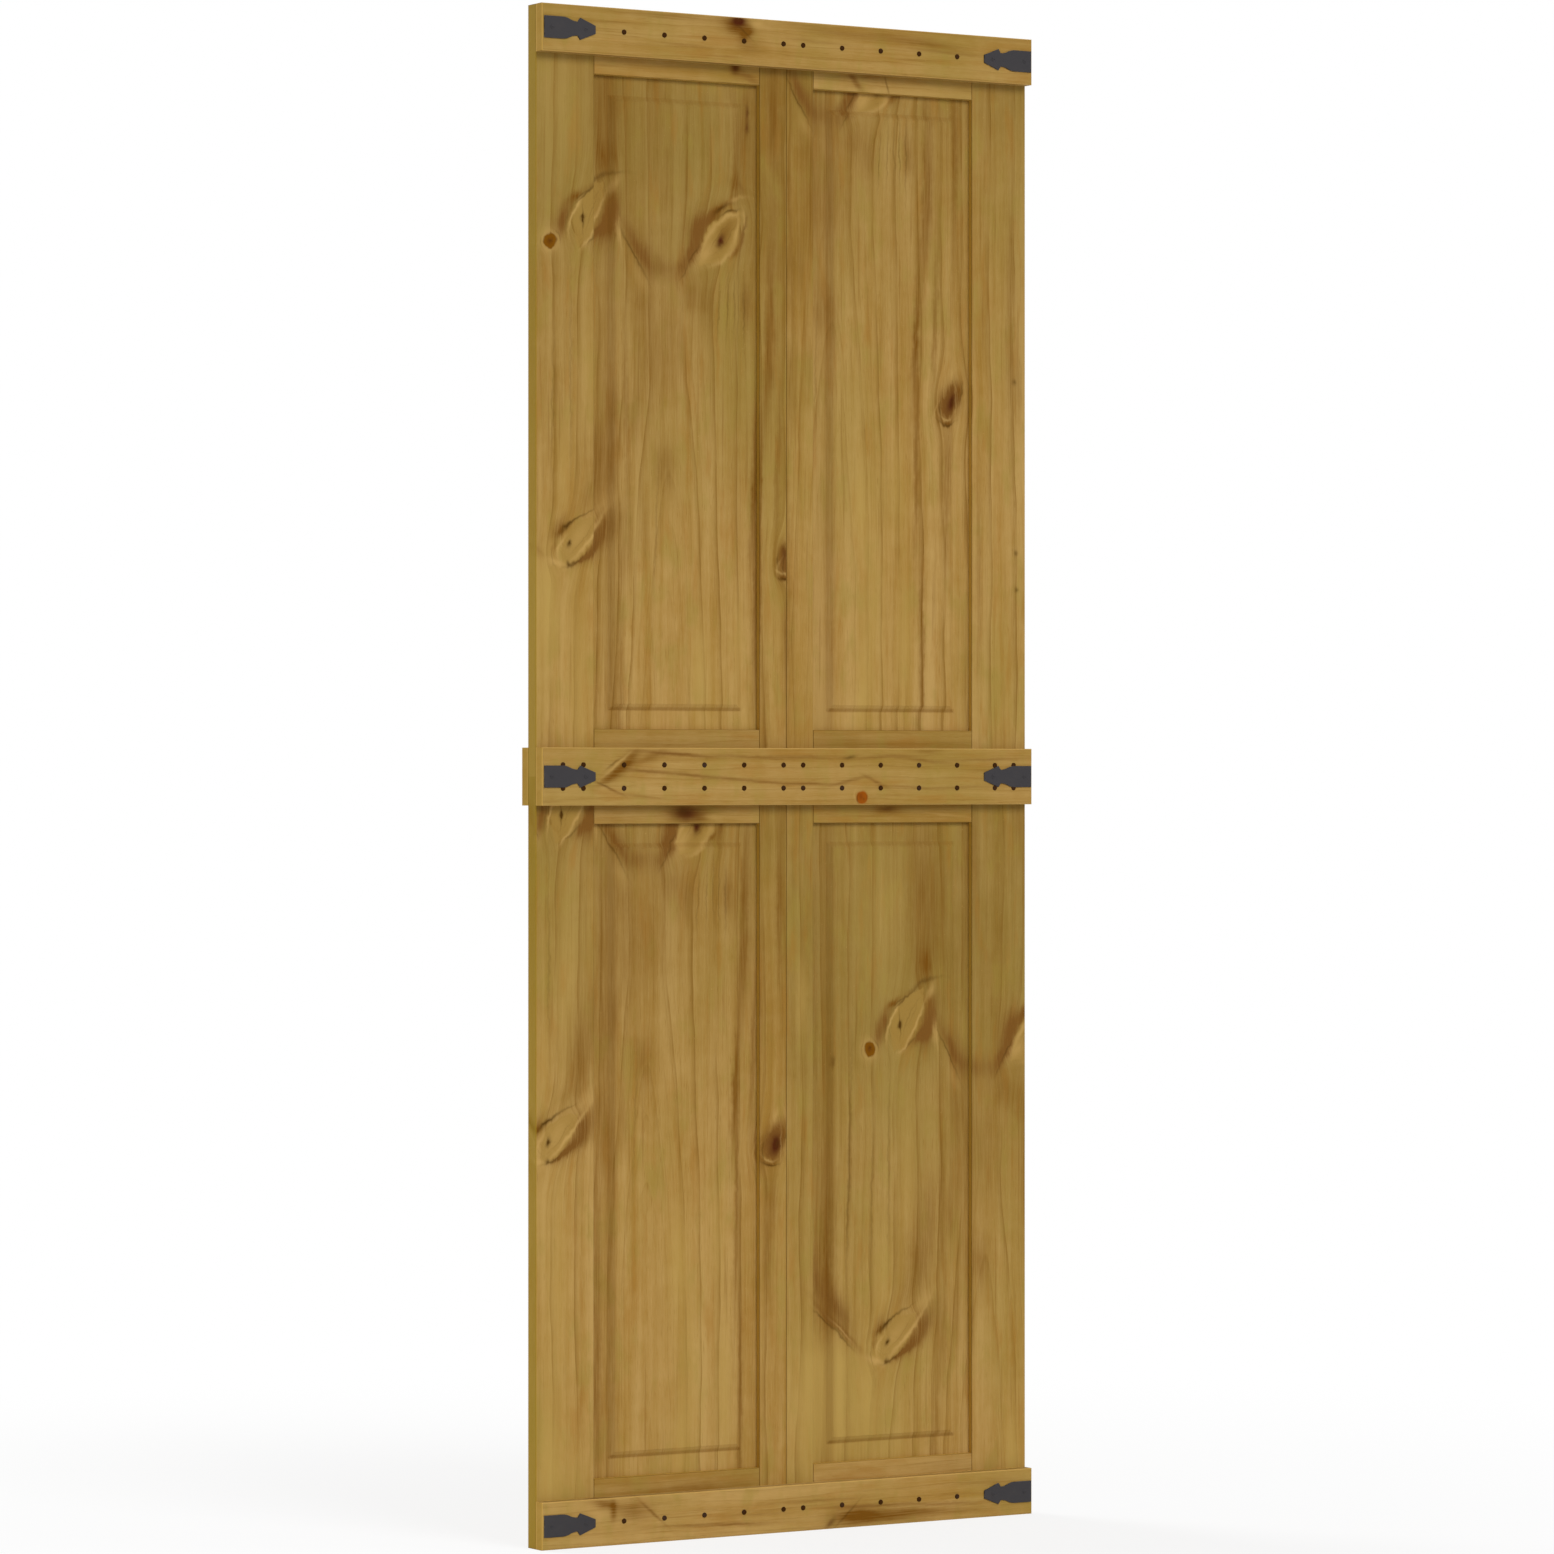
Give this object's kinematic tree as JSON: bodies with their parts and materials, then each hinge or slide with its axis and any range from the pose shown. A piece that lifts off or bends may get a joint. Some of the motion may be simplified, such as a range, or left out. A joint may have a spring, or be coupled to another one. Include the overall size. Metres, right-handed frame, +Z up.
{
  "type": "panelled barn door leaf",
  "caption": "Pine barn door leaf: framed raised panels held together by nailed cross battens, with black arrow-shaped plates at the batten ends.",
  "frame": {"origin": "middle of the top front batten's upper face, at mid-width of the leaf, where it hangs", "axes": "+X right as seen from the front, +Y towards the back, +Z up; the leaf hangs down along -Z"},
  "size_m": [0.8, 0.06, 2.1],
  "materials": {
    "pine": "satin honey-brown wax",
    "black_iron": "matt black paint"
  },
  "bodies": {
    "root": {"bottom_front_batten": "pine", "bottom_left_arrow_plate": "black_iron", "bottom_right_arrow_plate": "black_iron", "lower_left_bottom_rail": "pine", "lower_left_inner_stile": "pine", "lower_left_middle_rail": "pine", "lower_left_outer_stile": "pine", "lower_left_panel": "pine", "lower_right_bottom_rail": "pine", "lower_right_inner_stile": "pine", "lower_right_middle_rail": "pine", "lower_right_outer_stile": "pine", "lower_right_panel": "pine", "middle_back_batten": "pine", "middle_front_batten": "pine", "middle_left_arrow_plate": "black_iron", "middle_right_arrow_plate": "black_iron", "top_front_batten": "pine", "top_left_arrow_plate": "black_iron", "top_right_arrow_plate": "black_iron", "upper_left_inner_stile": "pine", "upper_left_middle_rail": "pine", "upper_left_outer_stile": "pine", "upper_left_panel": "pine", "upper_left_top_rail": "pine", "upper_right_inner_stile": "pine", "upper_right_middle_rail": "pine", "upper_right_outer_stile": "pine", "upper_right_panel": "pine", "upper_right_top_rail": "pine"}
  },
  "joints": []
}
